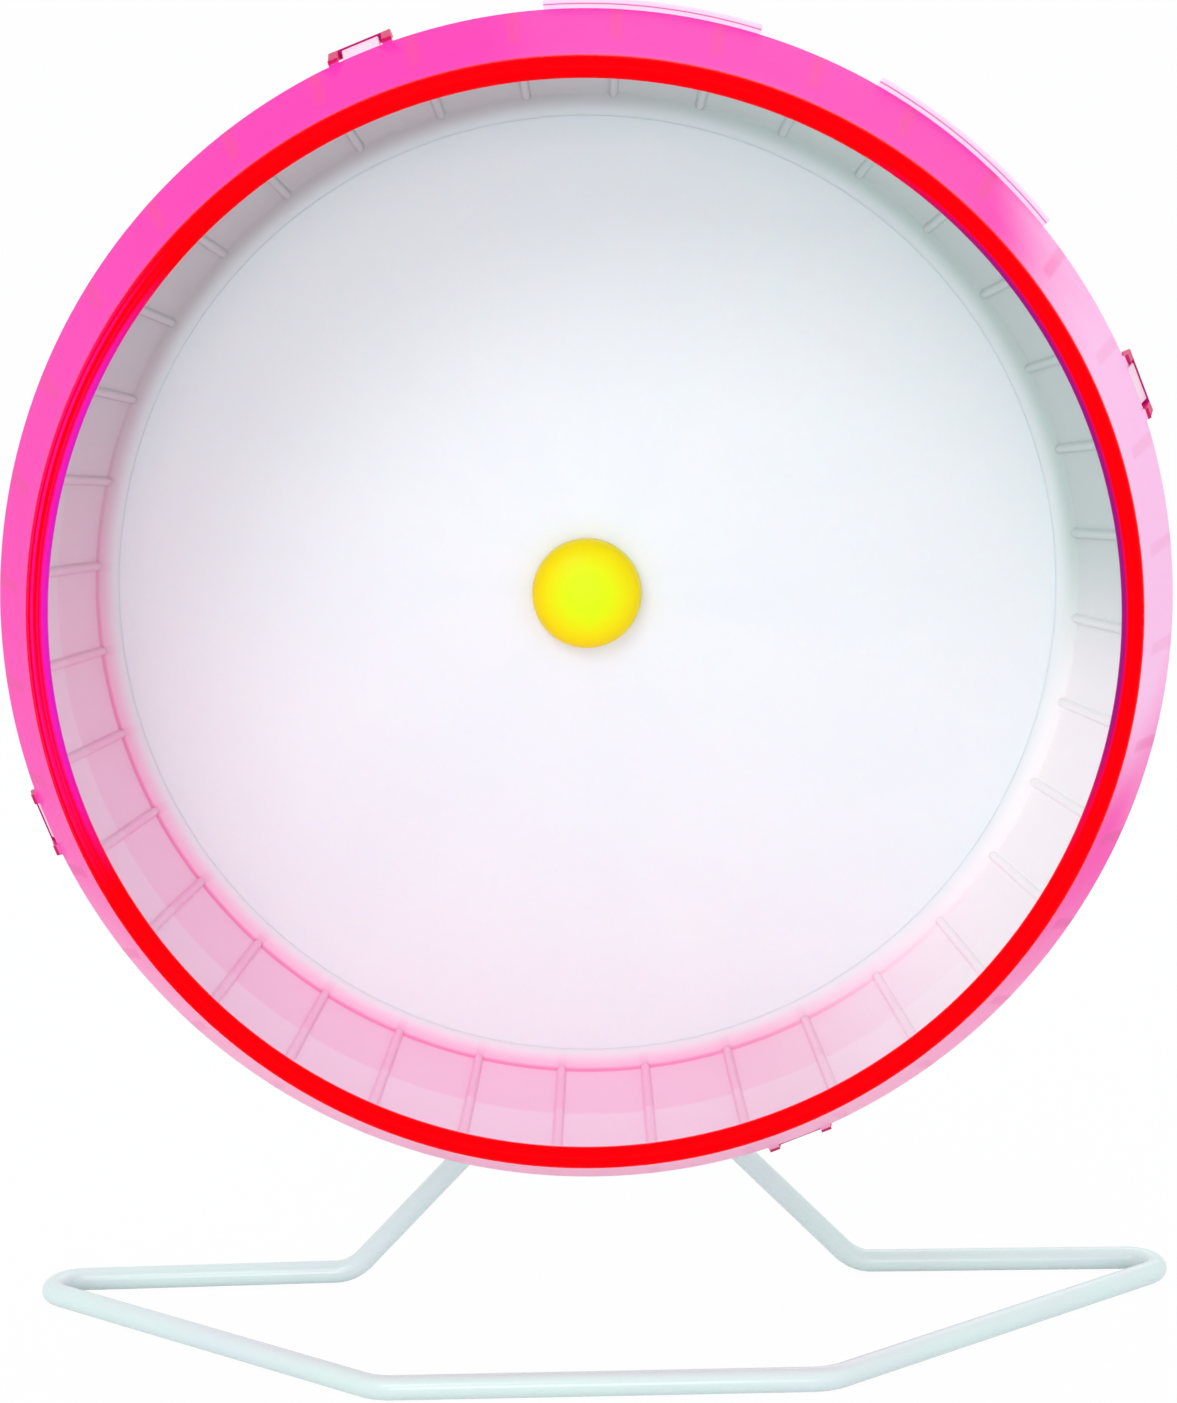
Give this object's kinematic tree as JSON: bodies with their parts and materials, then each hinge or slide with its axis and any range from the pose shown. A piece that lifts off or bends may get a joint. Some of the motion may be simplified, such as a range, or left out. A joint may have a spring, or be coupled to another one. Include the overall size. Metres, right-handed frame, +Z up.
{
  "type": "hamster wheel",
  "caption": "Pet exercise wheel: two clipped plastic shells with a ribbed running surface and a back panel, turning on a bolt in a bent wire stand.",
  "frame": {"origin": "under the middle of the object, on the plane that the stand rests on", "axes": "+Z up, +X across the mouth, +Y from the open mouth to the back along the axle"},
  "size_m": [0.2938, 0.1134, 0.3253],
  "materials": {
    "pink_shell": "moulded translucent pink plastic with a glossy skin",
    "pale_pink_shell": "moulded translucent pale pink plastic",
    "white_panel": "moulded white plastic, satin",
    "yellow_cap": "moulded yellow plastic, glossy",
    "nylon": "natural nylon, turned",
    "zinc_steel": "bright zinc plate",
    "spring_steel": "blackened spring steel",
    "coated_wire": "white plastic-coated steel wire, glossy"
  },
  "bodies": {
    "stand": {"stand_frame": "coated_wire", "axle_sleeve": "zinc_steel", "axle_bolt": "zinc_steel", "front_washer": "zinc_steel", "rear_washer": "zinc_steel", "lock_washer": "spring_steel", "axle_nut": "zinc_steel"},
    "wheel": {"front_shell": "pink_shell", "back_shell": "pale_pink_shell", "back_panel": "white_panel", "hub_cap": "yellow_cap", "front_bush": "nylon", "rear_bush": "nylon"}
  },
  "joints": [
    {"name": "wheel_spin", "type": "hinge", "parent": "stand", "child": "wheel", "pos_m": [0, 0, 0.1827], "axis": [0, 1, 0], "continuous": true}
  ]
}
